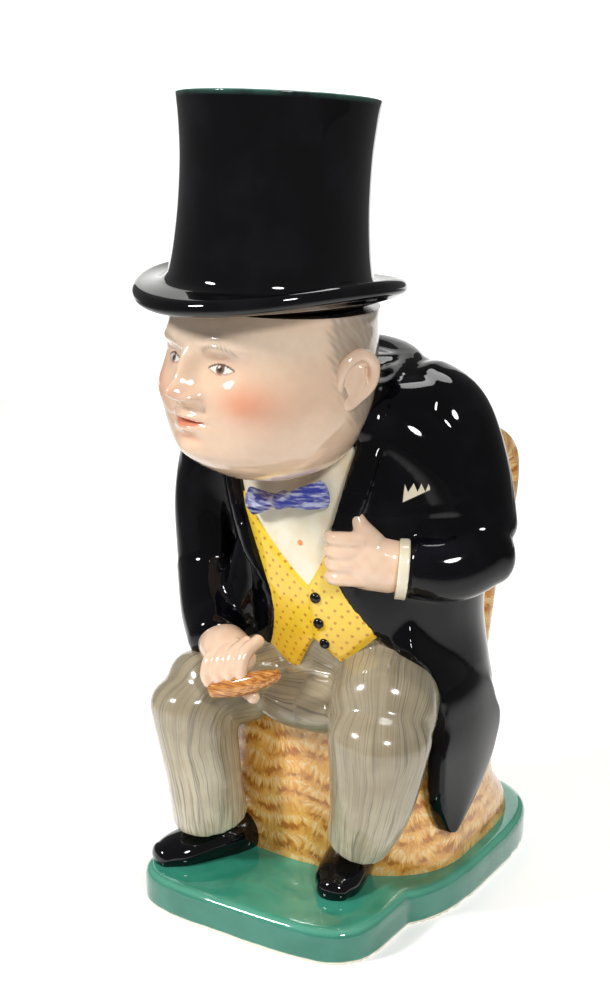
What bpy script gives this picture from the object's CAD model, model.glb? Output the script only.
import math

import bmesh
import bpy
import numpy as np
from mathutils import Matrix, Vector


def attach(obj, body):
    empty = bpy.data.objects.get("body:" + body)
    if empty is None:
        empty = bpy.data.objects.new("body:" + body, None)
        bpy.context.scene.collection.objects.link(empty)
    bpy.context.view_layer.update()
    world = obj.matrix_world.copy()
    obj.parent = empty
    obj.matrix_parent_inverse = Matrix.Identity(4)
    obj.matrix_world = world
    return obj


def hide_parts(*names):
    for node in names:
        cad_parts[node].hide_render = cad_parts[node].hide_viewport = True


# Character jug: seated stout man in a top hat. The figure is drawn in millimetres from a point
# on top of the base (x to its left, y to its back, z up), then placed in the frame in metres.

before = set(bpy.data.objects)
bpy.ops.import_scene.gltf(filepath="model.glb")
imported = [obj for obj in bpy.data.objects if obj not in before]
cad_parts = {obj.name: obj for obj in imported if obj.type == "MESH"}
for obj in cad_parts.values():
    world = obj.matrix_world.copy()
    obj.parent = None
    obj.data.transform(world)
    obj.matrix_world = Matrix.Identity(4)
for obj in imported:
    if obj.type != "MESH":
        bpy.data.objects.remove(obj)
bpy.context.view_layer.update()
print("frame loaded")

place = {"origin": (0.0, -0.016, 0.008), "unit": 0.001}
headPlace = {"rim": (-2.0, -10.4, 129.5), "tall": 32.2, "lean": 3.0, "leanTo": 32.0, "turn": -15.0}
wall = 3.4                              # thickness of the cast body
viewTurn = math.radians(32.2)           # how far round from the front the camera and the floor's sweep stand
scene = bpy.context.scene


# shapes as number arrays

def fromFigure(points):
    return np.asarray(points, float) * place["unit"] + place["origin"]


def headAxes():
    # columns: the head's left, back and up, in figure axes
    turn, lean, to = (math.radians(headPlace[key]) for key in ("turn", "lean", "leanTo"))
    spin = np.array([[math.cos(turn), -math.sin(turn), 0], [math.sin(turn), math.cos(turn), 0],
                     [0, 0, 1]])
    ax = np.array([-math.sin(to), math.cos(to), 0.0])
    cross = np.array([[0, -ax[2], ax[1]], [ax[2], 0, -ax[0]], [-ax[1], ax[0], 0]])
    return (np.eye(3) + math.sin(lean) * cross + (1 - math.cos(lean)) * cross @ cross) @ spin


def fromHead(points):
    return fromFigure(np.asarray(points, float) @ headAxes().T + np.array(headPlace["rim"]))


def toFigure(points):
    return (np.asarray(points, float) - place["origin"]) / place["unit"]


def toHead(points):
    return (toFigure(points) - np.array(headPlace["rim"])) @ headAxes()


def smoothRows(rows, steps):
    # Catmull-Rom curve through the rows
    rows = np.asarray(rows, float)
    padded = np.vstack([2 * rows[0] - rows[1], rows, 2 * rows[-1] - rows[-2]])
    t = (np.arange(steps) / steps)[:, None, None]
    p0, p1, p2, p3 = (padded[i:len(rows) - 1 + i] for i in range(4))
    curve = 0.5 * (2 * p1 + (p2 - p0) * t + (2 * p0 - 5 * p1 + 4 * p2 - p3) * t ** 2
                   + (3 * p1 - p0 - 3 * p2 + p3) * t ** 3)
    return np.vstack([curve.transpose(1, 0, 2).reshape(-1, rows.shape[1]), rows[-1:]])


def signedPower(value, power):
    return np.sign(value) * np.abs(value) ** power


def ovalRing(a, b, power, sides):
    # |x/a|^power + |y/b|^power = 1
    angle = 2 * np.pi * np.arange(sides) / sides
    return np.stack([a * signedPower(np.cos(angle), 2 / power),
                     b * signedPower(np.sin(angle), 2 / power)], -1)


def bump(value, middle, wide):
    return np.exp(-((value - middle) / wide) ** 2)


def ease(value, low, high):
    t = np.clip((value - low) / (high - low), 0, 1)
    return t * t * (3 - 2 * t)


def near(value, full, none):
    # 1 while |value| is under full, 0 once it is over none
    return ease(-np.abs(value), -none, -full)


def unitLong(vectors):
    return vectors / np.linalg.norm(vectors, axis=1)[:, None]


def runAlong(line):
    # distance along the line from its first point to each of its points
    return np.concatenate([[0], np.cumsum(np.linalg.norm(np.diff(line, axis=0), axis=1))])


def closedTube(rings):
    # walls between the rings, a fan of triangles at each end
    rings = np.asarray(rings, float)
    count, sides = rings.shape[:2]
    i, j = np.meshgrid(np.arange(count - 1), np.arange(sides), indexing="ij")
    a, b = i * sides + j, i * sides + (j + 1) % sides
    walls = np.stack([a, b, b + sides, a + sides], -1).reshape(-1, 4)
    k = np.arange(sides)
    last = (count - 1) * sides
    first = np.stack([np.full(sides, count * sides), (k + 1) % sides, k], -1)
    end = np.stack([np.full(sides, count * sides + 1), last + k, last + (k + 1) % sides], -1)
    points = np.concatenate([rings.reshape(-1, 3), [rings[0].mean(0), rings[-1].mean(0)]])
    return points, walls.tolist() + first.tolist() + end.tolist()


def closedSheet(low, high):
    # two grids (rows, columns, 3) joined round their edges
    rows, columns = low.shape[:2]
    count = rows * columns
    i, j = np.meshgrid(np.arange(rows - 1), np.arange(columns - 1), indexing="ij")
    a = (i * columns + j).ravel()
    under = np.stack([a, a + 1, a + columns + 1, a + columns], -1)
    edge = np.concatenate([np.arange(columns), np.arange(1, rows) * columns + columns - 1,
                           count - 2 - np.arange(columns - 1), np.arange(rows - 2, 0, -1) * columns])
    after = np.roll(edge, -1)
    rim = np.stack([edge, edge + count, after + count, after], -1)
    faces = np.concatenate([under, under[:, ::-1] + count, rim]).tolist()
    return np.concatenate([low.reshape(-1, 3), high.reshape(-1, 3)]), faces


def levelRings(rows, power, sides, steps):
    # level ovals from rows of x, y, z, half width, half depth
    table = smoothRows(rows, steps)
    flat = ovalRing(1.0, 1.0, power, sides)
    rings = np.zeros((len(table), sides, 3))
    rings[..., 0] = table[:, 0, None] + table[:, 3, None] * flat[:, 0]
    rings[..., 1] = table[:, 1, None] + table[:, 4, None] * flat[:, 1]
    rings[..., 2] = table[:, 2, None]
    return rings


domeEnd = {"reach": 0.68, "start": 0.16, "rings": 7}    # length as a share of the half width; first ring


def limbRings(rows, sides=40, steps=8, up=(0.0, 0.0, 1.0), ends="both", power=2.0):
    # an oval carried along a smooth path of x, y, z, half width, half height, with domed ends;
    # a row of four numbers is round there
    table = smoothRows(rows, steps)
    centre, half = table[:, :3], table[:, [3, -1]]
    way = unitLong(np.gradient(centre, axis=0))
    dome = np.linspace(domeEnd["start"], 1.0, domeEnd["rings"])[:, None] * np.pi / 2
    if ends in ("both", "first"):
        reach = half[0].mean() * domeEnd["reach"]
        centre = np.vstack([centre[0] - way[0] * reach * np.cos(dome), centre[1:]])
        half = np.vstack([half[0] * np.sin(dome), half[1:]])
    if ends in ("both", "last"):
        reach = half[-1].mean() * domeEnd["reach"]
        centre = np.vstack([centre[:-1], centre[-1] + way[-1] * reach * np.cos(dome[::-1])])
        half = np.vstack([half[:-1], half[-1] * np.sin(dome[::-1])])
    along = unitLong(np.gradient(centre, axis=0))
    side = unitLong(np.cross(np.broadcast_to(up, along.shape), along))
    over = np.cross(along, side)
    flat = ovalRing(1.0, 1.0, power, sides)
    return (centre[:, None] + side[:, None] * (flat[:, :1] * half[:, None, :1])
            + over[:, None] * (flat[:, 1:] * half[:, None, 1:]))


def inFigure(form):
    return fromFigure(form[0]), form[1]


def inHead(form):
    return fromHead(form[0]), form[1]


def limb(rows, **options):
    return inFigure(closedTube(limbRings(rows, **options)))


# making pieces

def rawPiece(name, forms):
    points, faces, start = [], [], 0
    for formPoints, formFaces in forms:
        points.append(formPoints)
        faces += [[start + k for k in face] for face in formFaces]
        start += len(formPoints)
    mesh = bpy.data.meshes.new(name)
    mesh.from_pydata(np.concatenate(points).tolist(), [], faces)
    made = bpy.data.objects.new(name, mesh)
    scene.collection.objects.link(made)
    turnOutward(mesh)
    return made


def turnOutward(mesh):
    shape = bmesh.new()
    shape.from_mesh(mesh)
    bmesh.ops.recalc_face_normals(shape, faces=shape.faces)
    shape.to_mesh(mesh)
    shape.free()


def settle(piece):
    # the piece as its modifiers leave it, as a plain mesh
    graph = bpy.context.evaluated_depsgraph_get()
    mesh = bpy.data.meshes.new_from_object(piece.evaluated_get(graph), depsgraph=graph)
    piece.modifiers.clear()
    old = piece.data
    piece.data = mesh
    bpy.data.meshes.remove(old)
    mesh.name = piece.name
    return piece


def castPiece(name, forms, surface, cell=0.0, soften=0, hollowed=None, sharp=60.0):
    # forms grown together (cell is the fineness), creases softened, the hollow taken out
    piece = rawPiece(name, forms)
    if cell:
        grown = piece.modifiers.new("grown", "REMESH")
        grown.mode = "VOXEL"
        grown.voxel_size = cell * place["unit"]
    if soften:
        smooth = piece.modifiers.new("softened", "SMOOTH")
        smooth.factor, smooth.iterations = 0.5, soften
    piece.data.materials.append(surface)
    if hollowed:
        cut = piece.modifiers.new("hollowed", "BOOLEAN")
        cut.operation, cut.solver, cut.object = "DIFFERENCE", "MANIFOLD", hollowed
        cut.material_mode = "TRANSFER"
    settle(piece)
    piece.data.shade_smooth()
    if sharp:
        piece.data.set_sharp_from_angle(angle=math.radians(sharp))
    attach(piece, "root")
    print("made", name, len(piece.data.polygons))
    return piece


def placesOf(piece):
    spots = np.zeros(len(piece.data.vertices) * 3)
    piece.data.vertices.foreach_get("co", spots)
    return spots.reshape(-1, 3)


def tint(piece, name, values):
    # a colour (n, 3) or number (n) kept on every point
    values = np.asarray(values, float)
    if values.ndim == 1:
        layer = piece.data.attributes.new(name, "FLOAT", "POINT")
        layer.data.foreach_set("value", values.astype(np.float32))
    else:
        layer = piece.data.attributes.new(name, "FLOAT_VECTOR", "POINT")
        layer.data.foreach_set("vector", values.astype(np.float32).ravel())


# glazes

glazeLayer = {"index": 1.5, "clearRough": 0.03, "rippleScale": 85.0, "rippleHigh": 0.0005, "underClear": 0.08}


class Glaze:
    # a glossy glaze under a clear layer, its colour worked out by nodes
    def __init__(self, name, gloss, waves=0.09, clear=0.6):
        self.material = bpy.data.materials.new(name)
        self.material.use_nodes = True
        self.tree = self.material.node_tree
        self.shader = self.tree.nodes["Principled BSDF"]
        self.shader.inputs["IOR"].default_value = glazeLayer["index"]
        self.spot = self.put("ShaderNodeTexCoord").outputs["Object"]
        self.bumps = self.noise(glazeLayer["rippleScale"], 2)
        self.waves = waves
        # roughness = gloss + a little noise
        self.feed(self.shader.inputs["Roughness"],
                  self.calc("MULTIPLY_ADD", self.noise(700, 2), gloss * 0.7, gloss * 0.65))
        self.feed(self.shader.inputs["Coat Weight"], clear)
        self.feed(self.shader.inputs["Coat Roughness"], glazeLayer["clearRough"])

    def put(self, kind, sockets=None, **settings):
        made = self.tree.nodes.new(kind)
        for key, value in settings.items():
            setattr(made, key, value)
        for key, value in (sockets or {}).items():
            self.feed(made.inputs[key], value)
        return made

    def feed(self, socket, value):
        if isinstance(value, bpy.types.NodeSocket):
            self.tree.links.new(value, socket)
        elif isinstance(value, tuple) and len(value) == 3 and socket.type == "RGBA":
            socket.default_value = (*value, 1)
        else:
            socket.default_value = value

    def calc(self, operation, first, second=0.0, third=0.0, clamp=False):
        return self.put("ShaderNodeMath", {0: first, 1: second, 2: third}, operation=operation,
                        use_clamp=clamp).outputs[0]

    def times(self, first, second):
        return self.calc("MULTIPLY", first, second)

    def less(self, first, second):
        return self.calc("SUBTRACT", first, second)

    def noise(self, scale, detail=3.0, vector=None, roughness=0.5, twist=0.0):
        sockets = {"Vector": vector or self.spot, "Scale": scale, "Detail": detail, "Roughness": roughness,
                   "Distortion": twist}
        return self.put("ShaderNodeTexNoise", sockets).outputs["Fac"]

    def vector(self, operation, first, second, output="Vector"):
        return self.put("ShaderNodeVectorMath", {0: first, 1: second}, operation=operation).outputs[output]

    def stretch(self, vector, x, y, z):
        return self.vector("MULTIPLY", vector, (x, y, z))

    def split(self, vector):
        return self.put("ShaderNodeSeparateXYZ", {0: vector}).outputs

    def join(self, x, y=0.0):
        return self.put("ShaderNodeCombineXYZ", {0: x, 1: y}).outputs[0]

    def kept(self, name, output="Vector"):
        return self.put("ShaderNodeAttribute", attribute_name=name).outputs[output]

    def between(self, value, low, high):
        return self.put("ShaderNodeMapRange", {"Value": value, "From Min": low, "From Max": high},
                        interpolation_type="SMOOTHSTEP").outputs["Result"]

    def mix(self, share, first, second):
        return self.put("ShaderNodeMix", {0: share, 6: first, 7: second}, data_type="RGBA").outputs[2]

    def laid(self, ground, share, strength, colour):
        # a thinned colour brushed over the ground
        return self.mix(self.times(share, strength), ground, colour)

    def oneLayer(self, clear):
        # for the blacks: nearly all the shine comes from the clear layer on top
        self.feed(self.shader.inputs["Specular IOR Level"], glazeLayer["underClear"])
        self.feed(self.shader.inputs["Coat Weight"], clear)

    def done(self, colour):
        self.feed(self.shader.inputs["Base Color"], colour)
        relief = self.put("ShaderNodeBump", {"Strength": self.waves, "Distance": glazeLayer["rippleHigh"],
                                             "Height": self.bumps})
        self.feed(self.shader.inputs["Normal"], relief.outputs["Normal"])
        return self.material


def blackGround(g, clear):
    # near-black, slightly bluer and paler where coarse noise says the glaze ran thin
    g.oneLayer(clear)
    return g.mix(g.between(g.noise(90, 4), 0.45, 0.8), (0.0015, 0.0015, 0.0022), (0.006, 0.006, 0.009))


def blackGlaze(name, thinAt=None):
    # the black ground, green where the kept mark and ragged noise meet
    g = Glaze(name, gloss=0.06)
    colour = blackGround(g, 0.8)
    if thinAt:
        thin = g.times(g.kept(thinAt, "Fac"), g.between(g.noise(160, 3), 0.25, 0.6))
        colour = g.mix(thin, colour, (0.10, 0.24, 0.19))
    return g.done(colour)


def coatGlaze():
    # the black ground, and on the breast a cream handkerchief: between a slanting foot line and a zigzag
    g = Glaze("coat_glaze", gloss=0.06)
    black = blackGround(g, 0.45)
    spot = g.split(g.spot)
    low, high = fromFigure(pocket["foot"]), fromFigure(pocket["tip"])
    u = g.calc("DIVIDE", g.less(spot["X"], float(low[0])), float(high[0] - low[0]))
    v = g.calc("DIVIDE", g.less(spot["Z"], float(low[2])), pocket["tall"] * place["unit"])
    points = g.calc("ABSOLUTE", g.less(g.calc("FRACT", g.calc("MULTIPLY_ADD", u, 3.4, 0.05)), 0.5))
    top = g.calc("MULTIPLY_ADD", points, 0.95, 0.52)
    inside = g.times(g.between(g.less(top, v), -0.03, 0.03),
                     g.between(g.less(v, g.times(u, 0.72)), -0.03, 0.03))
    inside = g.times(inside, g.times(g.between(u, -0.02, 0.02), g.between(u, 0.93, 0.91)))
    inside = g.times(inside, g.between(spot["Y"], float(low[1]) + 0.012, float(low[1]) + 0.011))
    return g.done(g.mix(inside, black, (0.84, 0.76, 0.58)))


def paintedGlaze():
    # the painted colour kept on the points, mottled by noise
    g = Glaze("flesh_glaze", gloss=0.10)
    shade = g.between(g.noise(420, 4), 0.25, 0.75)
    return g.done(g.laid(g.kept("paint"), shade, 0.10, (0.55, 0.26, 0.16)))


def creamGlaze(name, dot=None):
    # warm cream, yellower where soft noise pools, with one painted dot
    g = Glaze(name, gloss=0.10)
    colour = g.mix(g.between(g.noise(140, 3), 0.35, 0.75), (0.88, 0.82, 0.66), (0.80, 0.70, 0.47))
    if dot is not None:
        away = g.vector("DISTANCE", g.spot, tuple(dot), "Value")
        colour = g.mix(g.between(away, 0.00085, 0.00055), colour, (0.80, 0.27, 0.05))
    return g.done(colour)


def waistcoatGlaze():
    # yellow deepening to amber downwards, small brown dots in a turned grid of cells
    g = Glaze("waistcoat_glaze", gloss=0.09)
    cloth = g.kept("cloth")
    depth = g.calc("ADD", g.between(g.split(cloth)["Z"], 66, 46),
                   g.calc("MULTIPLY_ADD", g.noise(260, 4), 1.1, -0.55))
    depth = g.calc("MULTIPLY", depth, 0.8, clamp=True)
    colour = g.mix(depth, (0.90, 0.62, 0.050), (0.86, 0.48, 0.010))
    turned = g.put("ShaderNodeMapping", {"Vector": cloth, "Rotation": (0, 0, math.radians(38))})
    cells = g.put("ShaderNodeTexVoronoi", {"Vector": turned.outputs[0], "Scale": 0.47, "Randomness": 0.22},
                  voronoi_dimensions="2D")
    return g.done(g.laid(colour, g.between(cells.outputs["Distance"], 0.21, 0.13), 0.75, (0.52, 0.17, 0.012)))


def tieGlaze():
    # cobalt brushed along the wings: stretched noise lets the pale ground through
    g = Glaze("tie_glaze", gloss=0.09)
    strokes = g.noise(1, 4, g.stretch(g.spot, 260, 260, 1500))
    return g.done(g.mix(g.between(strokes, 0.44, 0.66), (0.040, 0.052, 0.34), (0.50, 0.53, 0.72)))


def trouserGlaze():
    # grey-beige; dark brush lines where noise of the angle round the leg crosses its middle value,
    # hardly changing along the leg, with broad dark washes between them and a darker thigh
    g = Glaze("trouser_glaze", gloss=0.16, clear=0.25)
    cloth = g.kept("cloth")
    wander = g.noise(1, 2, g.stretch(cloth, 0.16, 0.07, 0.30))
    drawn = g.vector("ADD", cloth, g.join(g.times(wander, 3)))

    def offMiddle(middle, *scale):
        return g.calc("ABSOLUTE", g.less(g.noise(1, 1, g.stretch(drawn, *scale)), middle))

    fine = g.between(offMiddle(0.5, 1.00, 0.016, 1), 0.040, 0.008)
    second = g.between(offMiddle(0.52, 1.70, 0.030, 4), 0.035, 0.008)
    gaps = g.between(g.noise(1, 3, g.stretch(drawn, 0.9, 0.10, 1)), 0.28, 0.58)
    broad = g.between(g.noise(1, 3, g.stretch(drawn, 0.50, 0.030, 1), 0.6), 0.46, 0.66)
    lines = g.times(g.calc("MAXIMUM", fine, g.times(second, 0.6)), gaps)
    colour = g.mix(g.between(g.noise(150, 3), 0.3, 0.7), (0.50, 0.43, 0.30), (0.63, 0.56, 0.41))
    colour = g.laid(colour, broad, 0.55, (0.27, 0.23, 0.165))
    colour = g.laid(colour, g.between(g.split(cloth)["Y"], 62, 34), 0.55, (0.20, 0.155, 0.085))
    return g.done(g.laid(colour, lines, 0.62, (0.11, 0.095, 0.075)))


wicker = {"band": 4.6, "arch": 1.8, "pitch": 0.185, "ragged": 1.1}


def wickerGlaze():
    # arched bands, (height - arch |cos(pitch across)|) / band, made ragged by strokes: noise across the
    # band that leans outwards from each arch; a brown bar in the middle of a band, pale spikes at its edges
    g = Glaze("wicker_glaze", gloss=0.12, waves=0.45)
    cloth = g.kept("cloth")
    across, up = g.split(cloth)["X"], g.split(cloth)["Z"]
    drift = g.less(g.noise(1, 2, g.join(g.times(across, 0.075), g.times(up, 0.085))), 0.5)
    phase = g.calc("ADD", g.times(across, wicker["pitch"]), g.times(drift, 3))
    arch = g.calc("MULTIPLY_ADD", g.calc("ABSOLUTE", g.calc("COSINE", phase)), -wicker["arch"],
                  g.times(drift, 4))
    level = g.calc("DIVIDE", g.calc("ADD", up, arch), wicker["band"])
    lean = g.times(g.calc("SINE", g.times(phase, 2)), g.times(g.calc("FRACT", level), 2))
    brush = g.join(g.less(across, lean), g.times(level, 0.8))
    strokes, hairs = g.noise(1, 3, brush, 0.62), g.noise(1.9, 2, brush, 0.5)
    shift = g.calc("MULTIPLY_ADD", strokes, wicker["ragged"], -wicker["ragged"] / 2)
    rise = g.calc("FRACT", g.calc("ADD", level, shift))
    patch = g.between(g.noise(1, 2, g.stretch(cloth, 0.17, 0.17, 0.26)), 0.42, 0.56)
    bar = g.times(g.between(rise, 0.14, 0.30), g.between(rise, 0.66, 0.46))
    bar = g.times(bar, g.calc("MULTIPLY_ADD", patch, 0.85, 0.15))
    spikes = g.times(g.between(rise, 0.55, 0.90), g.between(hairs, 0.38, 0.60))
    colour = g.mix(g.between(strokes, 0.34, 0.64), (0.66, 0.275, 0.040), (0.86, 0.48, 0.110))
    colour = g.laid(colour, bar, 0.92, (0.40, 0.12, 0.008))
    for share, strength in ((spikes, 0.80), (g.between(hairs, 0.62, 0.69), 0.6)):
        colour = g.laid(colour, share, strength, (0.90, 0.69, 0.36))
    g.bumps = g.calc("ADD", g.times(strokes, 0.35), g.times(rise, 0.3))
    return g.done(colour)


def greenGlaze():
    # sea green, thick and dark in patches of noise, thin at the rounded edge, dark side, cream foot line
    g = Glaze("green_glaze", gloss=0.06, waves=0.14)
    high = g.split(g.spot)["Z"]
    pool = g.noise(70, 5, twist=0.6)
    colour = g.mix(g.between(pool, 0.32, 0.68), (0.018, 0.215, 0.140), (0.046, 0.330, 0.225))
    colour = g.laid(colour, g.kept("thin", "Fac"), 0.55, (0.16, 0.44, 0.31))
    colour = g.laid(colour, g.between(high, 0.0078, 0.0064), 0.6, (0.004, 0.105, 0.070))
    ragged = g.calc("MULTIPLY_ADD", g.noise(120, 3), 0.0008, 0.0003)
    return g.done(g.mix(g.between(g.less(high, ragged), 0.0003, -0.0001), colour, (0.80, 0.74, 0.60)))


def barGlaze():
    # orange brown with darker grain: noise stretched along the bar
    g = Glaze("bar_glaze", gloss=0.14)
    grain = g.noise(1, 4, g.stretch(g.kept("cloth"), 2.2, 0.16, 2.2))
    colour = g.mix(g.between(grain, 0.38, 0.66), (0.66, 0.29, 0.065), (0.28, 0.075, 0.018))
    return g.done(g.laid(colour, g.between(grain, 0.40, 0.28), 0.7, (0.80, 0.52, 0.26)))


def liningGlaze():
    # clear glaze on the cream body inside the jug, with faint pooling
    g = Glaze("lining_glaze", gloss=0.12)
    return g.done(g.mix(g.between(g.noise(80, 3), 0.3, 0.7), (0.82, 0.78, 0.68), (0.70, 0.64, 0.50)))


# the figure's trunk

trunk = np.array([                      # x, y, height, half width, half depth
    (6, 22, 31, 24, 16.5), (6, 22, 37.5, 26, 21), (5.1, 21, 45, 26.2, 21.4),
    (4.4, 19, 57, 25.8, 23), (3.9, 18.8, 72, 27.3, 24.5), (3, 18.5, 87, 28.5, 25),
    (2, 19, 97, 27.5, 23.5), (1.5, 20, 105, 24.5, 19.5), (1, 20, 111, 19, 14.5), (1, 20, 115.5, 12, 9),
])
trunkPower = 2.2
trunkFine = smoothRows(trunk, 8)


def onTrunk(z, angle, out):
    # height, angle from the front (+ to its left), distance out of the trunk
    x, y, a, b = (np.interp(z, trunkFine[:, 2], trunkFine[:, k]) for k in (0, 1, 3, 4))
    px = (a + out) * signedPower(np.sin(angle), 2 / trunkPower)
    py = (b + out) * signedPower(np.cos(angle), 2 / trunkPower)
    return np.stack([x + px, y - py, z + 0 * px], -1)


def shellOnTrunk(z, angle, inside, outside):
    # a closed sheet lying on the trunk, from one distance out of it to another
    z, angle = z + 0 * angle, angle + 0 * z
    return inFigure(closedSheet(onTrunk(z, angle, inside), onTrunk(z, angle, outside + 0 * z)))


seat = {                                # rows: height, reach behind, inset
    "middle": 18, "half": 32.3, "taper": 0.05, "ahead": 23, "frontPower": 2.35, "rearPower": 4.2,
    "rows": [(-1.5, 55.5, 0), (4, 53.5, 0), (9, 48.5, 0), (14, 44.5, 0), (28, 42, 0),
             (36, 41.2, 0.3), (39, 39.4, 2), (40, 37, 4)],
}


def seatOval(z, half, ahead, behind, sides):
    # an oval with one power in front of the seat's middle and a squarer one behind it
    front = ovalRing(half, ahead, seat["frontPower"], sides)
    rear = ovalRing(half, behind, seat["rearPower"], sides)
    flat = np.where(front[:, 1:] < 0, front, rear)
    return np.column_stack([flat[:, 0], seat["middle"] + flat[:, 1], np.full(sides, z)])


def seatRings(sides=200):
    return np.array([
        seatOval(z, seat["half"] - seat["taper"] * max(z, 0) - inset, seat["ahead"] - inset,
                 rear - seat["middle"], sides)
        for z, rear, inset in smoothRows(seat["rows"], 5)])


hollow = {
    "seatHalf": 31.5, "seatAhead": 22.5, "seatBehind": 23,
    "seatRows": ((-3.5, 2), (-1, 0), (34, 1), (37, 5)),   # height, inset
    "foot": ((6, 19, 31, 20, 15), (6, 20, 37.5, 21.5, 17)), "drop": 1,
    "neck": [(1.5, 10.5, 90, 9, 6.5), (0.5, 7.5, 98, 9, 6.5), (-1, 3.4, 107, 9, 6.5),
             (-1.6, 2.4, 113, 9, 6.5)],
    "headLevels": (3, 6, 12, 20, 35.2), "cell": 1,
}


def hollowForms():
    # the space inside: seat, body, neck and head
    half, ahead, behind = (hollow[key] - wall for key in ("seatHalf", "seatAhead", "seatBehind"))
    chamber = closedTube([seatOval(z, half - inset, ahead - inset, behind - inset, 64)
                          for z, inset in hollow["seatRows"]])
    rows = trunk[:-2] - (0, 0, 0, wall, wall)
    rows[:2] = hollow["foot"]
    rows[-1, 2] -= hollow["drop"]
    body = closedTube(levelRings(rows, trunkPower, 64, 4))
    neck = closedTube(limbRings(hollow["neck"], sides=48, steps=3, up=(0, 1, 0), ends="none"))
    skull = closedTube(headRings(hollow["headLevels"], 64, inset=wall))
    return [inFigure(chamber), inFigure(body), inFigure(neck), inHead(skull)]


coat = {
    "thick": 1.6, "lapel": 1.7, "tuck": 4.5,
    "edges": smoothRows([               # height, its right edge, its left edge, in degrees
        (36, -62, 98), (42, -46, 87), (47.5, -32.5, 68), (53, -24, 41), (60.2, -19.5, 27),
        (67.5, -24, 17.5), (77, -31, 13), (86.8, -38, 18), (97, -46, 24.5), (106, -55, 31),
        (113.5, -75, 45)], 8),
    "collar": [(-15, -1.5, 101, 3, 4), (-17.5, 8, 107, 3.6, 4.6), (-12.5, 20.5, 112, 4.2, 4.6),
               (1, 26, 113.5, 4.6, 4.4), (14, 20, 112.5, 4.2, 4.6), (18, 8.5, 108.5, 3.6, 4.6),
               (15.5, -2, 102.5, 3, 4)],
    "yoke": [(1, 20, 104, 24, 17.6), (1, 20, 110.5, 20.8, 15.9), (1, 20.5, 115.9, 13, 10.4)],
    "sleeves": (
        [(19.5, 17.5, 105.5, 10.3), (25.4, 17, 102, 10.4), (30.6, 16.4, 91, 9.9), (33.7, 15.2, 80, 9.5)],
        [(35.8, 13.8, 76.4, 9.2), (32.4, 6.6, 73.4, 8), (27, 1.6, 73.8, 6.8)],
        [(-21, 12, 97.5, 10), (-27, 9.5, 92, 10), (-30, 8, 80, 9.2), (-29.4, 6.4, 66, 8.5)],
        [(-28.8, 5.4, 63, 8.5), (-23.8, -2, 55.8, 7.4), (-18.6, -8, 51.8, 6.6)],
    ),
    "fillings": (                       # breast and shoulders filled out, folds inside the left elbow
        [(8, 5, 103, 8), (17, 7, 101.5, 9.2), (24.5, 10, 96, 9.4), (28.5, 11.5, 88, 8.4)],
        [(6, 20, 108.5, 8, 6), (16, 18.5, 107.5, 9.5, 8), (22, 17.5, 104, 9.6, 9.6)],
        [(11, 4, 105, 6.5, 6), (17.5, 9, 106, 8, 6.8), (22, 14.5, 105.5, 8.5, 8)],
        [(13.5, 12, 108.5, 6.5, 6), (19, 14, 107, 8, 7), (24, 16, 103, 8.5, 8.5)],
        [(-8, 8, 99, 8), (-18, 9, 97, 9.2), (-25, 9.5, 90, 8.6)],
        [(-14.5, 1.5, 72, 4.5), (-16.5, 1, 62, 5.2), (-18.5, 0, 54, 5.2), (-20, 0, 48.5, 4.5)],
        [(25, 1.8, 80.2, 1.3), (30, 4.6, 82.2, 1.9), (36, 8.4, 82.6, 1.5)],
        [(27, 3, 84.8, 0.9), (31.5, 5.2, 86, 1.4), (36.5, 8.6, 85.6, 1)],
    ),
    "tail": [                           # height, place to the side, front edge, rear edge
        (63, 25, 3, 27), (55, 28, -1, 26), (49.5, 30.5, 2.5, 24.5), (42, 32.8, 4.4, 27),
        (36, 33.6, 5, 30), (30, 34, 3, 32), (23, 34, 3, 29), (18, 34, 3.8, 24.5), (14, 34, 5.6, 18),
        (10.2, 34, 7.6, 9.6)],
}
pocket = {"foot": (24.8, -0.1, 88.2), "tip": (29.8, 5.5, 92), "tall": 3.9}


def coatForms():
    # body wrapped round the trunk, collar and yoke, rolled lapels, sleeves, fillings and two tails
    edges = coat["edges"]
    z = np.linspace(36, 113.5, 90)[:, None]
    right, left = (np.radians(np.interp(z, edges[:, 0], edges[:, k])) for k in (1, 2))
    angle = left + (2 * np.pi + right - left) * np.linspace(0, 1, 180)[None]
    forms = [shellOnTrunk(z, angle, -1.6, coat["thick"]), limb(coat["collar"]),
             inFigure(closedTube(levelRings(coat["yoke"], 2, 64, 6)))]
    z = np.linspace(63, 108, 60)[:, None]
    wide = np.interp(z, [63, 76, 88, 98, 108], [2, 6.5, 9.5, 10.5, 9])
    proud = coat["thick"] - 0.3 + (coat["lapel"] + 0.3) * ease(z, 63, 73)
    for column, way in ((1, -1), (2, 1)):
        edge = np.interp(z, edges[:, 0], edges[:, column])
        angle = np.radians(edge - way * 1.2 + way * (wide + 1.2) * np.linspace(0, 1, 24)[None])
        forms.append(shellOnTrunk(z, angle, -1, proud))
    forms += [limb(rows, up=(0.4, -0.3, 1)) for rows in coat["sleeves"]]
    forms += [limb(rows, sides=32) for rows in coat["fillings"]]
    for way in (1, -1):
        z, x, front, rear = smoothRows(coat["tail"], 6).T[:, :, None]
        if way < 0:
            x = x + np.interp(z, [36, 55, 63], [1.5, -3, -4.5])
            front = front + np.interp(z, [36, 49.5], [0, 5])
        share = np.linspace(0, 1, 24)[None]
        y = front + (rear - front) * share
        out = x + 1.2 * np.sin(np.pi * share)
        forms.append(inFigure(closedSheet(np.stack([way * (out - coat["tuck"]), y, z + 0 * y], -1),
                                          np.stack([way * out, y, z + 0 * y], -1))))
    return forms


# the head

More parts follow.
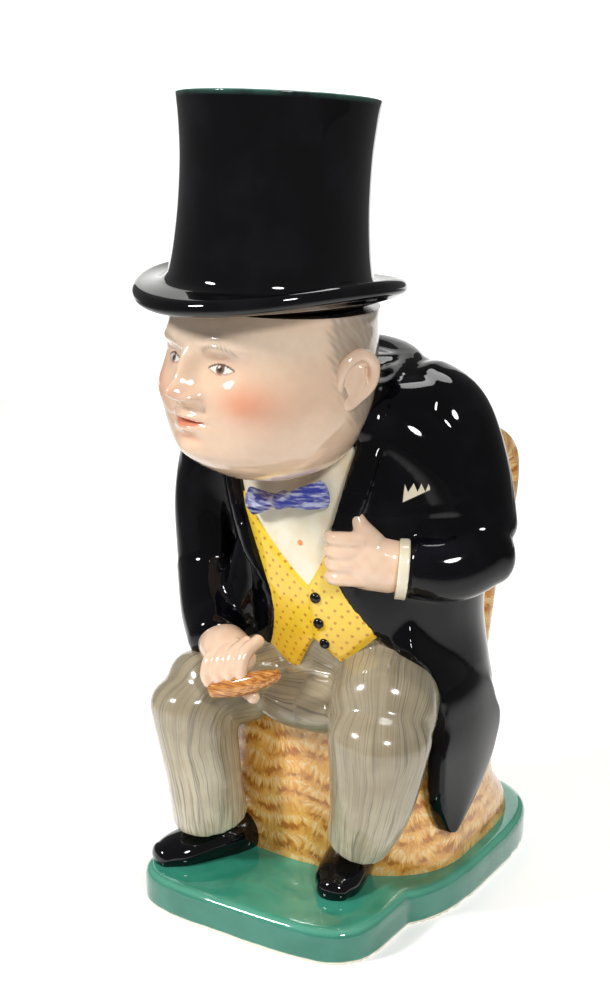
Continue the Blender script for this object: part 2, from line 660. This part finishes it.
face = {
    # sideways place, height above the chin, swell out, width, height of each soft swell
    "swells": [
        (0, 15.6, 4.7, 2.5, 2.4), (0, 19.6, 3, 1.8, 3.6), (0, 23.2, 0.9, 2, 2.2),
        (2.9, 14.7, 2.1, 1.5, 1.5), (7.5, 25.3, 1.4, 4.6, 1.6), (7.3, 21.3, -2.2, 3.6, 2.5),
        (7.3, 21, 1.7, 2.5, 1.8), (12, 14.5, 1.3, 4.8, 4.6), (0, 10.6, 1.5, 4.4, 1.1),
        (0, 9.55, -0.9, 4.6, 0.42), (0, 8.3, 1.5, 3.6, 1.1), (0, 6.1, -0.5, 3, 0.9),
        (0, 3.3, 1.7, 4.6, 2.2), (0, 12.6, -0.35, 0.8, 1.3), (4.6, 12.4, -0.30, 0.9, 2.4),
    ],
    "profile": smoothRows([             # height above the chin, half width, reach in front, reach behind
        (-4, 9, 9, 13), (-1, 14.5, 15.3, 17), (2, 17.5, 18.8, 20), (6, 19.8, 20.4, 21.8),
        (10, 21.2, 20.8, 23), (15, 21.9, 21, 24), (21, 21.6, 20.7, 24.6),
        (26, 21.2, 21, 24.7), (30, 20.8, 20.9, 24.6), (32.2, 21.2, 20.7, 24.5)], 6),
    "eye": (7.3, 21), "brow": (7.6, 24.9), "mouth": 9.55,
    "crowd": 0.42,                      # how far the rings' points are drawn towards the front
}


def headRings(levels, sides, inset=0.0):
    # oval rings whose reach follows the profile; outside, the features as soft swells
    outside = inset == 0.0
    t = np.asarray(levels, float)[:, None]
    profile = face["profile"]
    half, front, back = (np.interp(t, profile[:, 0], profile[:, k]) for k in (1, 2, 3))
    turn = np.linspace(-np.pi, np.pi, sides, endpoint=False)[None]
    angle = turn - (face["crowd"] if outside else 0) * np.sin(turn)
    ahead = ease(np.cos(angle), -0.10, 0.10)
    reach = front * ahead + back * (1 - ahead)
    x = half * np.sin(angle)
    y = -reach * np.cos(angle)
    swell = np.zeros_like(x + t)
    if outside:
        for side, height, out, wide, tall in face["swells"]:
            for spot in {side, -side}:
                soft = out * bump(x, spot, wide) * bump(t, height, tall)
                swell = swell + np.where(np.cos(angle) > 0, soft, 0)
    grow = 1 + (swell - inset) / np.hypot(x, y)
    return np.stack([x * grow, y * grow, t + 0 * x - headPlace["tall"]], axis=-1)


def headPaint(points):
    # flesh, blush, lips, eyes, brows and hair painted by place on the head
    x, y, t = toHead(points).T
    t = t + headPlace["tall"]
    front = ease(-y, 0, 6)
    colour = np.tile([0.86, 0.62, 0.44], (len(x), 1))

    def brush(rgb, share):
        nonlocal colour
        share = np.clip(share, 0, 1)[:, None]
        colour = colour * (1 - share) + np.array(rgb) * share

    side = np.abs(x)
    brush((0.90, 0.72, 0.55), 0.8 * bump(t, 27.5, 4) * front)
    brush((0.86, 0.25, 0.12), 0.62 * bump(side, 13.5, 4.6) * bump(t, 14.8, 4.2) * front)
    brush((0.84, 0.34, 0.20), 0.45 * bump(x, 0, 2.6) * bump(t, 15.4, 1.8) * front)
    brush((0.70, 0.30, 0.18), 0.5 * bump(x, 0, 3) * bump(t, 6.2, 0.8) * front)
    eyeX, eyeT = face["eye"]
    lidUp = eyeT + 0.95 * (1 - ((side - eyeX) / 2.8) ** 2)
    lidLow = eyeT - 0.85 * (1 - ((side - eyeX) / 2.8) ** 2)
    inEye = front * ease(t, lidLow - 0.10, lidLow + 0.10) * ease(-t, -lidUp - 0.10, -lidUp + 0.10)
    brush((0.72, 0.38, 0.26), 0.5 * front * bump(side, eyeX, 3.4) * bump(t, eyeT + 2.1, 0.7))
    brush((0.90, 0.88, 0.80), inEye)
    gaze = np.hypot(side - eyeX, t - eyeT - 0.12)
    brush((0.16, 0.11, 0.07), inEye * near(gaze, 0.88, 1.02))
    brush((0.01, 0.01, 0.01), inEye * near(gaze, 0.42, 0.52))
    glint = np.hypot(x - np.sign(x) * eyeX + 0.35, t - eyeT - 0.55)
    brush((0.95, 0.95, 0.92), inEye * near(glint, 0.20, 0.30))
    brush((0.12, 0.07, 0.05), front * near(t - lidUp - 0.08, 0.14, 0.27) * near(side - eyeX, 2.7, 3.1))
    brush((0.45, 0.22, 0.15), 0.7 * front * near(t - lidLow + 0.05, 0.10, 0.22) * near(side - eyeX, 2.4, 2.9))
    browX, browT = face["brow"]
    browT = browT + 0.9 - 0.10 * (side - browX) ** 2
    hairs = 0.62 + 0.38 * np.sin(side * 9.0 + t * 5)
    brush((0.30, 0.25, 0.20), 0.85 * hairs * front * bump(t, browT, 0.55) * near(side - browX, 3.2, 4.2))
    mouthT = face["mouth"] + 0.012 * side ** 2
    lowLip, highLip = 0.05 * side ** 2, 0.035 * side ** 2
    lips = near(side, 3.4, 4.7) * front
    brush((0.74, 0.22, 0.12), 0.85 * lips * ease(t, mouthT - 1.35 + lowLip, mouthT - 0.95 + lowLip)
          * ease(-t, -mouthT - 1.05 + highLip, -mouthT - 0.7 + highLip))
    brush((0.28, 0.05, 0.03), 0.9 * front * near(side, 4.2, 5) * bump(t, mouthT, 0.17))
    brush((0.45, 0.12, 0.08), 0.7 * front * bump(side, 1.6, 0.55) * bump(t, 13.75, 0.35))
    strands = (0.5 + 0.28 * np.sin(1.5 * t + 2.0 * y + 1.6 * np.sin(0.7 * y))
               + 0.22 * np.sin(3.9 * t + 3.1 * y))
    line = -3.5 + 0.10 * np.clip(25 - t, 0, 20) ** 1.6 + 2.2 * (strands - 0.5)
    hair = ease(y, line, line + 3.2) * ease(t, 7, 11)
    hair = np.maximum(hair, ease(y, 8, 12) * ease(t, 2.5, 6))
    grey = np.array([0.50, 0.42, 0.33]) * (0.66 + 0.50 * strands[:, None])
    share = hair[:, None] * (0.72 + 0.28 * strands[:, None])
    return colour * (1 - share) + grey * share


ear = {
    "rim": [(20.6, 1.6, -18.2, 1.4, 1.4), (21.6, 0.3, -15, 1.2, 1.2), (22.6, 1, -11, 1.3, 1.3),
            (23.3, 4.6, -8.9, 1.4, 1.4), (23.6, 8, -11.2, 1.4, 1.4), (23.2, 8.2, -15.2, 1.3, 1.3),
            (21.9, 5.8, -17.9, 1.6, 1.6), (20.9, 3.6, -19.2, 2.1, 2.3), (20.6, 2.2, -18.6, 2, 2)],
    "bowl": [(20.9, 3.2, -18.6, 2.4, 1.3), (21.4, 3.8, -16, 3.4, 1.2), (21.7, 4.6, -12.4, 3.6, 1.3),
             (21.9, 4.6, -10, 2.8, 1.1)],
    "ridge": [(22.4, 4.6, -18, 0.9, 0.9), (22.8, 5.8, -14.6, 1, 1), (22.9, 5.2, -11.6, 0.9, 0.9)],
    "thin": 0.94, "in": 0.5, "up": 1.4,
}


def earForms():
    # rim, bowl and inner ridge as thin limbs, mirrored to the other side
    forms = []
    for side in (-1, 1):
        for part in ("rim", "bowl", "ridge"):
            rows = np.array(ear[part]) * (side, 1, 1, ear["thin"], ear["thin"])
            rows = rows + (-ear["in"] * side, 0, ear["up"], 0, 0)
            forms.append(inHead(closedTube(limbRings(rows, sides=16, steps=5, up=(1, 0, 0)))))
    return forms


# front: waistcoat, tie, buttons

waistcoat = {                           # angles from the front in degrees, heights of the lower edge
    "angles": [-42, -37.5, -23.5, -12.5, 1, 11.5, 19, 31, 34],
    "lower": [47, 46.5, 45.5, 45, 55, 50, 52.5, 56.8, 58],
    "foldAngle": 0.5, "foldHigh": 67.2, "neckRight": 0.50, "neckLeft": 0.92,
    "clothMiddle": (4.4, 19), "clothRound": 24,     # the dots are laid round this middle
}


def waistcoatForm():
    # between a pointed lower edge and a V neck, the left side lapped over, its edges rounded down
    angle = np.linspace(-42, 34, 120)[None]
    low = np.interp(angle, waistcoat["angles"], waistcoat["lower"])
    away = angle - waistcoat["foldAngle"]
    slope = np.where(away < 0, -waistcoat["neckRight"], waistcoat["neckLeft"])
    high = waistcoat["foldHigh"] + slope * away
    rise = np.linspace(0, 1, 60)[:, None]
    lap = 0.30 * ease(angle, 0.6, 1.6)
    edge = 0.35 * np.minimum(np.minimum(rise, 1 - rise) / 0.05, 1) - 0.35
    out = 0.75 + lap + edge + 0.3 * (1 - rise) ** 2
    return shellOnTrunk(low + (high - low) * rise, np.radians(angle), -1.2, out)


tie = {"high": 86.9, "wing": [(2.4, -9.4, 0.5, 1.3, 1.6), (6, -8.6, 1.3, 1.3, 2.5), (9.3, -6.9, 2.1, 1, 3)],
       "shift": -0.4, "folds": 3, "foldDeep": 0.16}


def tieForms():
    # two wings with folds, radius times (1 + 0.16 cos(3 angle)), and a knot
    forms, high = [], tie["high"]
    for side in (-1, 1):
        rows = [(side * x + tie["shift"], y, high + side * up, a, b) for x, y, up, a, b in tie["wing"]]
        rings = limbRings([(0, -9.2, high, 1.1, 1.3), *rows], sides=36, steps=8, ends="last")
        middle = rings.mean(1, keepdims=True)
        turn = np.linspace(0, 2 * tie["folds"] * np.pi, 36, endpoint=False)[None, :, None]
        forms.append(inFigure(closedTube(middle + (rings - middle) * (1 + tie["foldDeep"] * np.cos(turn)))))
    forms.append(limb([(0, -8, high, 1.8, 2.1), (0, -10.4, high, 1.6, 1.9)], sides=24, steps=4, ends="last"))
    return forms


buttons = {"places": ((65.2, 4), (59.2, 4.5), (54.4, 6)), "back": (0, 1.4, 0), "front": (0, -0.55, 0)}


def buttonForms():
    # domed studs at a height and an angle from the front
    forms = []
    for z, angle in buttons["places"]:
        centre = onTrunk(np.array(z), np.radians(angle), 0.7)
        rows = [(*(centre + buttons["back"]), 1.3), (*(centre + buttons["front"]), 1.25)]
        forms.append(limb(rows, sides=24, steps=3, ends="last"))
    return forms


# hands, cuff and bar

rightHand = {"palm": [(-17, -8.6, 51.2, 5.4, 4.8), (-12.6, -12.6, 51.6, 5.8, 4.6),
                      (-8.6, -15.6, 50.4, 5.2, 3.8)],
             "thumb": [(-9.6, -13.8, 46.6, 1.9), (-5.2, -15.8, 44.6, 1.8), (-1.8, -18, 44.2, 1.5)],
             "knuckle": (-12.6, -17.6, 50.2), "step": (2.75, 0.35, 0.75)}


def rightHandForms():
    # back of the hand from the sleeve, thumb below the bar, four fingers bent down over it
    forms = [limb(rightHand["palm"]), limb(rightHand["thumb"], sides=20)]
    for k in range(4):
        x, y, z = (first + step * k for first, step in zip(rightHand["knuckle"], rightHand["step"]))
        forms.append(limb([(x + 0.6, y + 3.6, z + 3, 1.5, 1.5), (x, y - 0.7, z + 1.4, 1.6, 1.6),
                           (x + 0.1, y - 2.9, z - 1.8, 1.45, 1.5), (x + 0.7, y - 2.8, z - 4, 1.3, 1.35)],
                          sides=20, up=(1, 0.3, 0)))
    return forms


leftHand = {"fist": [(22.4, -0.9, 74, 5.6, 6.2), (18, -3.4, 75, 5.2, 6.5), (13.4, -5.4, 76, 4, 6)],
            "thumb": [(20, -4, 79.4, 2.6, 2.4), (18, -5.8, 82.6, 2.1, 1.9), (16.6, -6.2, 85.2, 1.6, 1.5)],
            "top": 80.4, "step": 2.95, "thick": 1.75, "thinner": 0.06}


def leftHandForms():
    # fist out of the cuff, four fingers round the lapel, thumb up
    forms = [limb(leftHand["fist"])]
    for k in range(4):
        z, thick = leftHand["top"] - leftHand["step"] * k, leftHand["thick"] - leftHand["thinner"] * k
        forms.append(limb([(18.4, -6.2, z - 0.2, thick), (15.4, -8, z, thick),
                           (12.6, -8.4, z - 0.2, thick), (10.6, -6.8, z - 0.4, thick * 0.9)],
                          sides=20))
    forms.append(limb(leftHand["thumb"], sides=20, up=(1, 0, 0), ends="last"))
    return forms


cuff = [(25.4, 0.6, 73.4, 6.9), (23.4, -0.6, 73.6, 6.9)]
bar = [(-10.6, -20.4, 45, 1.9, 1.7), (-5, -19.4, 46.8, 2.2, 2.3), (0.6, -17.8, 49, 1.9, 1.9),
       (3.4, -16.8, 50.2, 1.3, 1.2)]


# legs and shoes

legs = {
    "limbs": (
        ("both", [(-4, 18, 39, 10.5, 10.5), (-13.4, 2, 40.5, 10.2, 10.8), (-20.4, -12.4, 39.6, 9.6, 9.8)]),
        ("first", [(-20.8, -14.6, 38.4, 9.8, 9.3), (-18.4, -14, 21, 8.6, 8.6),
                   (-18.3, -11.8, 8.9, 8.7, 8.4)]),
        ("both", [(13, 18, 42, 11.5, 12), (19.6, 3, 43, 11.8, 12), (23.2, -5.2, 41.6, 11.5, 11.7)]),
        ("first", [(24.3, -8.4, 38, 11.3, 11.5), (22.4, -8.4, 22, 9.2, 9.4), (18.1, -6.8, 10.2, 7, 7.2)]),
    ),
    "lap": [(3, 3, 31.5, 8, 5), (3, 1.5, 35, 15, 10.5), (4, 2, 40, 17, 12), (4.5, 5, 45.5, 14, 9)],
    "paths": (                          # middle line of each leg, and the way its lines are counted from
        ([(-4, 18, 39), (-13.4, 2, 40.5), (-19, -11, 39), (-20, -14.2, 32), (-18.4, -14, 21),
          (-18.3, -11.8, 4)], (0.86, -0.50, 0)),
        ([(13, 18, 42), (19.6, 3, 43), (23.4, -5.6, 40), (23.8, -8.2, 32), (22.4, -8.4, 22),
          (18.1, -6.8, 5)], (0.91, 0.40, 0)),
    ),
    "round": 9, "apart": 60,          # millimetres to a radian, and between the two legs' patterns
}


def legForms():
    # thighs and shins as limbs, the lap as level ovals, the hips as a shell on the trunk
    forms = [limb(rows, up=(1, -0.4, 0), ends=ends) for ends, rows in legs["limbs"]]
    forms.append(inFigure(closedTube(levelRings(legs["lap"], 2, 64, 6))))
    z = np.linspace(37, 57, 24)[:, None]
    forms.append(shellOnTrunk(z, np.radians(np.linspace(-45, 60, 60))[None], -1.2, 0.35))
    return forms


def legCloth(points):
    # distance round and along the nearer leg, in millimetres
    spots = toFigure(points)
    best, cloth = np.full(len(spots), 1e9), np.zeros((len(spots), 3))
    for k, (path, aside) in enumerate(legs["paths"]):
        line = smoothRows(path, 26)
        way = unitLong(np.gradient(line, axis=0))
        away = np.linalg.norm(spots[:, None] - line[None], axis=2)
        nearest = away.argmin(1)
        distance = away[np.arange(len(spots)), nearest]
        offset, way = spots - line[nearest], way[nearest]
        side = unitLong(aside - (way @ np.array(aside))[:, None] * way)
        over = np.cross(way, side)
        angle = np.arctan2((offset * side).sum(1), (offset * over).sum(1))
        along = runAlong(line)[nearest] + (offset * way).sum(1)
        mine = np.stack([angle * legs["round"] + legs["apart"] * k, along, 0 * angle], -1)
        cloth = np.where((distance < best)[:, None], mine, cloth)
        best = np.minimum(best, distance)
    return cloth


shoes = {
    "right_shoe": [(-13.5, -1, 2.2, 4.2, 4.6), (-16, -6, 2.6, 5.6, 5.6), (-19.4, -12, 2.4, 5.9, 5),
                   (-23, -18.2, 1.8, 5.6, 3.9), (-24.9, -21.4, 1.4, 4, 3)],
    "left_shoe": [(12.6, 4, 2.2, 4.2, 4.6), (13.4, -1, 2.6, 5.5, 5.6), (14.6, -6.4, 2.4, 5.8, 5.2),
                  (15.9, -11.6, 1.8, 5.4, 4), (16.4, -14.6, 1.4, 3.8, 3)],
}


# handle, base, hat

handle = {"wide": 20, "thick": 9.5, "middle": 6, "power": 2.8, "sides": 14, "path": [
    (34, 79.5), (48, 86.6), (62, 87.6), (74.2, 81), (73.6, 68), (65.8, 54.5), (62, 42),
    (58.6, 30), (51.5, 19.5), (38, 13)]}


def handleLine():
    return smoothRows([(handle["middle"], y, z) for y, z in handle["path"]], 10)


def handleRings(sides=48):
    # a flat oval carried along the path, its width kept level
    centre = handleLine()
    out = np.cross(unitLong(np.gradient(centre, axis=0)), (1, 0, 0))
    flat = ovalRing(handle["wide"] / 2, handle["thick"] / 2, handle["power"], sides)
    return (centre[:, None] + np.array([1, 0, 0]) * flat[None, :, :1]
            + out[:, None] * flat[None, :, 1:])


base = {"high": 8, "long": 92, "rear": 72.4, "front": 60.2, "edge": 1.8, "rearShare": 0.405,
        "frontShare": 0.25, "rearPower": 3.3, "frontPower": 4.4, "sides": 160}


def baseForms():
    # two upright lobes with a quarter-round upper edge, a wide one under the seat and one in front
    half, edge = base["long"] / 2, base["edge"]
    seatLobe, footLobe = base["long"] * base["rearShare"], base["long"] * base["frontShare"]
    levels = [(0, 0)] + [(base["high"] - edge * (1 - math.sin(a)), edge * (1 - math.cos(a)))
                         for a in np.linspace(0, np.pi / 2, 8)]
    forms = []
    for middle, halfX, halfY, power in (
            (half - seatLobe, base["rear"] / 2, seatLobe, base["rearPower"]),
            (-half + footLobe, base["front"] / 2, footLobe, base["frontPower"])):
        rings = []
        for z, inset in levels:
            flat = ovalRing(halfX - inset, halfY - inset, power, base["sides"])
            rings.append(np.column_stack([flat[:, 0], middle + flat[:, 1], np.full(len(flat), z)]))
        points, faces = closedTube(rings)
        forms.append((points * place["unit"], faces))
    return forms


# the crown's rows: share of its height, radius
hat = {"rim": (21.2, 22.6), "back": 1.9, "tall": 42.3, "wall": 2.6, "reach": 7, "brim": 3.6, "rest": 0.3,
       "flange": 5, "flangeWall": 2, "gap": 0.8, "dome": 0.9, "topSlope": (0.071, -0.052), "round": 0.8,
       "crown": [(0, 20.6), (0.16, 19.7), (0.40, 19), (0.65, 18.9), (0.85, 19.4), (1, 20.1)]}


def hatSlope(x, y):
    return hat["topSlope"][0] * x + hat["topSlope"][1] * y


def hatRings(sides=160):
    # one turned profile, inside and out, made slightly oval, the brim curled by cosines of the angle
    crown, brim, rest, tall = hat["crown"], hat["brim"], hat["rest"], hat["tall"]
    reach, under = crown[0][1] + hat["reach"], tall - hat["wall"]
    flange = hat["rim"][0] - wall - hat["gap"]
    neck = flange - hat["flangeWall"]
    foot, edge = rest + brim, tall - hat["dome"]
    side = smoothRows([(r, foot + 1.0 + (edge - foot - 1.4) * t) for t, r in crown], 6)
    topR, topZ = side[-1]
    arc = np.linspace(0.15, 1, 6) * np.pi / 2
    topEdge = [(topR - hat["round"] * (1 - math.cos(a)), topZ + (edge - topZ) * math.sin(a)) for a in arc]
    lip = [(reach - brim / 2 + brim / 2 * math.cos(a), rest + brim / 2 + brim / 2 * math.sin(a))
           for a in np.linspace(np.pi / 2, -np.pi / 2, 13)]
    profile = np.array([
        (0.3, tall + 0.2), (5, tall + 0.12), (10, tall - 0.15), (14.5, edge + 0.35), (17.6, edge + 0.08),
        *topEdge[::-1], *side[1:][::-1],
        (crown[0][1] + 0.35, foot + 1.3), (crown[0][1] + 1.1, foot + 0.55), (crown[0][1] + 2.6, foot + 0.1),
        *lip, (flange + 1, rest), (flange, rest), (flange, rest - hat["flange"]),
        (neck, rest - hat["flange"]), (neck, foot - 0.6),
        *((r - hat["wall"], z) for r, z in side[:-3:4]),
        (topR - hat["round"] - hat["wall"], under), (6, under), (0.3, under)])
    angle = (2 * np.pi * np.arange(sides) / sides)[None]
    r, z = profile[:, :1], profile[:, 1:]
    rimX, rimY = hat["rim"]
    curled = reach - rimY - 1.4
    curl = (np.clip(r - rimY, 0, curled) / curled) ** 1.4
    deep = np.where(r > 12, r + rimY - rimX, r)
    back = np.where((r <= flange) & (z < foot), hat["back"], 0)
    x, y = r * np.cos(angle), back + deep * np.sin(angle)
    z = z + ease(z, foot + 6, edge) * hatSlope(x, y)
    return np.stack([x, y, z + curl * (1.3 + 1.5 * np.cos(2 * angle) + 1.3 * np.cos(angle - 0.82))], -1)


# building

black, flesh, wickerwork = blackGlaze("black_glaze"), paintedGlaze(), wickerGlaze()
stud = fromFigure(onTrunk(np.array(77.0), np.radians(-1.5), 0.1))
cream, cuffCream = creamGlaze("shirt_glaze", dot=stud), creamGlaze("cuff_glaze")

lining = rawPiece("lining_shape", hollowForms())
lining.data.materials.append(liningGlaze())
grown = lining.modifiers.new("grown", "REMESH")
grown.mode, grown.voxel_size = "VOXEL", hollow["cell"] * place["unit"]
settle(lining)

shirt = castPiece("body_and_shirt", [inFigure(closedTube(levelRings(trunk, trunkPower, 120, 8)))], cream,
                  hollowed=lining)
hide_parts("jug")

head = castPiece("head", [inHead(closedTube(headRings(np.linspace(-3.5, 32.2, 150), 360)))], flesh,
                 hollowed=lining)
tint(head, "paint", headPaint(placesOf(head)))
ears = castPiece("ears", earForms(), flesh, cell=0.3, soften=3, hollowed=lining)
tint(ears, "paint", np.tile([0.88, 0.64, 0.47], (len(ears.data.vertices), 1)))

castPiece("coat", coatForms(), coatGlaze(), cell=0.64, soften=6, hollowed=lining)

front = castPiece("waistcoat", [waistcoatForm()], waistcoatGlaze(), sharp=40.0)
x, y, z = toFigure(placesOf(front)).T
x0, y0 = waistcoat["clothMiddle"]
tint(front, "cloth", np.stack([np.arctan2(x - x0, y0 - y) * waistcoat["clothRound"], z, z], -1))
castPiece("bow_tie", tieForms(), tieGlaze(), cell=0.25, soften=3)
castPiece("buttons", buttonForms(), black)

for name, forms in (("right_hand", rightHandForms()), ("left_hand", leftHandForms())):
    hand = castPiece(name, forms, flesh, cell=0.35, soften=4)
    spots = placesOf(hand)
    tone = 0.5 + 0.5 * np.sin(spots[:, 0] * 1800.0) * np.sin(spots[:, 2] * 1500.0)
    tint(hand, "paint", np.array([0.86, 0.60, 0.42]) + tone[:, None] * np.array([0.02, 0.05, 0.06]))
castPiece("cuff", [limb(cuff, sides=64, ends="none")], cuffCream, cell=0.3, soften=2)
barPiece = castPiece("bar", [limb(bar, sides=32, power=2.6)], barGlaze())
x, y, z = toFigure(placesOf(barPiece)).T
tint(barPiece, "cloth", np.stack([y, x, z], -1))

trousers = castPiece("trousers", legForms(), trouserGlaze(), cell=0.60, soften=16, hollowed=lining)
tint(trousers, "cloth", legCloth(placesOf(trousers)))
for name, rows in shoes.items():
    castPiece(name, [limb(rows, sides=36, ends="last")], black)

seatPiece = castPiece("seat", [inFigure(closedTube(seatRings()))], wickerwork, hollowed=lining)
x, y, z = toFigure(placesOf(seatPiece)).T
level = seatRings(720)[12]              # the pattern is as long as the way round at this level
stations = np.unwrap(np.arctan2(level[:, 0], seat["middle"] - level[:, 1]))
order = np.argsort(stations)
around = np.interp(np.arctan2(x, seat["middle"] - y), stations[order], runAlong(level)[order],
                   period=2 * np.pi)
tint(seatPiece, "cloth", np.stack([around, 0 * around, z + np.maximum(z - 39, 0) * 3], -1))

handlePiece = castPiece("handle", [inFigure(closedTube(handleRings()))], wickerwork, hollowed=lining)
spots, line = toFigure(placesOf(handlePiece)), handleLine()
nearest = np.linalg.norm(spots[:, None, 1:] - line[None, :, 1:], axis=2).argmin(1)
along = runAlong(line)[nearest]
across = spots[:, 0] + np.sign(line[nearest, 1] - spots[:, 1]) * handle["sides"]    # inner side shifted
tint(handlePiece, "cloth", np.stack([across, 0 * along, -along], -1))

green = castPiece("base", baseForms(), greenGlaze(), cell=0.62, soften=3, hollowed=lining)
z = placesOf(green)[:, 2]
tint(green, "thin", ease(z, 0.0060, 0.0072) * ease(-z, -0.0081, -0.0076))

hatPiece = castPiece("top_hat", [inHead(closedTube(hatRings()))], blackGlaze("hat_glaze", "thin"), sharp=50.0)
x, y, z = toHead(placesOf(hatPiece)).T
edge = hat["tall"] - hat["dome"]
tint(hatPiece, "thin", ease(z - hatSlope(x, y), edge - 0.6, edge - 0.1) * ease(np.hypot(x, y), 17.0, 19.0))
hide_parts("hat_cover")
bpy.data.objects.remove(lining)
print("pieces made")


# floor, light, camera

sweep = {                               # metres behind the middle and up, half width
    "run": [-0.40, -0.2, 0.0, 0.6, 1.0, 1.2, 1.33, 1.43, 1.49, 1.52, 1.53, 1.53],
    "rise": [0.0, 0.0, 0.0, 0.0, 0.0, 0.02, 0.07, 0.16, 0.28, 0.45, 0.8, 1.6],
    "half": 0.62, "columns": 5,
}


def paperGlaze(ahead, beside):
    # matt paper: its glow grows towards the back, its tone falls off beyond the frame so that
    # reflections end softly; ahead and beside are level directions
    g = Glaze("floor_paper", gloss=0.7, waves=0.0, clear=0.0)
    far = g.vector("DOT_PRODUCT", g.spot, ahead, "Value")
    aside = g.calc("ABSOLUTE", g.vector("DOT_PRODUCT", g.spot, beside, "Value"))
    lit = g.times(g.between(far, 0.26, 0.09),
                  g.calc("MAXIMUM", g.between(aside, 0.34, 0.09), g.between(far, -0.35, -0.60)))
    glow = g.calc("MULTIPLY_ADD", g.between(far, -0.1, -1.1), 0.65, 0.30)
    g.feed(g.shader.inputs["Emission Color"], (1.0, 1.0, 0.985))
    g.feed(g.shader.inputs["Emission Strength"], g.times(lit, glow))
    return g.done(g.mix(lit, (0.12, 0.12, 0.12), (0.90, 0.90, 0.885)))


def makeFloor():
    # pale sweep: flat, then curving up behind
    way = np.array([-math.sin(viewTurn), math.cos(viewTurn), 0.0])
    side = np.array([way[1], -way[0], 0.0])
    run, rise = (np.array(sweep[key])[:, None, None] for key in ("run", "rise"))
    wide = np.linspace(-sweep["half"], sweep["half"], sweep["columns"])[None, :, None]
    points = run * way + wide * side + rise * np.array([0, 0, 1.0])
    n = sweep["columns"]
    i, j = np.meshgrid(np.arange(len(run) - 1), np.arange(n - 1), indexing="ij")
    a = (i * n + j).ravel()
    mesh = bpy.data.meshes.new("floor")
    mesh.from_pydata(points.reshape(-1, 3).tolist(), [], np.stack([a, a + 1, a + n + 1, a + n], -1).tolist())
    mesh.shade_smooth()
    floor = bpy.data.objects.new("floor", mesh)
    scene.collection.objects.link(floor)
    mesh.materials.append(paperGlaze(tuple(-way), tuple(side)))


lamps = (                               # name, place, height aimed at, size, power
    ("lamp_left", (-0.42, -0.62, 0.62), 0.08, 0.18, 6.1),
    ("lamp_right", (0.62, -0.52, 0.66), 0.08, 0.18, 4.9),
    ("lamp_above", (0.05, 0.25, 0.95), 0.05, 0.35, 2.6),
)


def addLamp(name, spot, aim, size, power):
    lamp = bpy.data.lights.new(name, "AREA")
    lamp.shape, lamp.size, lamp.energy = "DISK", size, power
    made = bpy.data.objects.new(name, lamp)
    made.location = spot
    made.rotation_euler = (Vector((0, 0, aim)) - Vector(spot)).to_track_quat("-Z", "Y").to_euler()
    scene.collection.objects.link(made)


makeFloor()
for lampRow in lamps:
    addLamp(*lampRow)
world = bpy.data.worlds.new("studio")
scene.world = world
world.use_nodes = True
backdrop = world.node_tree.nodes["Background"]
backdrop.inputs["Color"].default_value = (1.0, 1.0, 1.0, 1.0)
backdrop.inputs["Strength"].default_value = 0.16
scene.view_settings.view_transform = "Standard"
print("floor and light made")

camera = {"away": 0.340, "high": 0.189, "down": 15.7, "sensor": 36.0, "focal": 1616, "frame": 994}


def makeCamera():
    # focal length and picture height are in pixels; the view turns with the floor's sweep
    lens = bpy.data.cameras.new("camera")
    lens.sensor_width = camera["sensor"]
    lens.lens = camera["focal"] / camera["frame"] * camera["sensor"]
    made = bpy.data.objects.new("camera", lens)
    x, y = -math.sin(viewTurn), math.cos(viewTurn)
    made.location = (camera["away"] * -x, -camera["away"] * y + place["origin"][1], camera["high"])
    down = math.radians(camera["down"])
    aim = Vector((x * math.cos(down), y * math.cos(down), -math.sin(down)))
    made.rotation_euler = aim.to_track_quat("-Z", "Y").to_euler()
    scene.collection.objects.link(made)
    scene.camera = made


makeCamera()
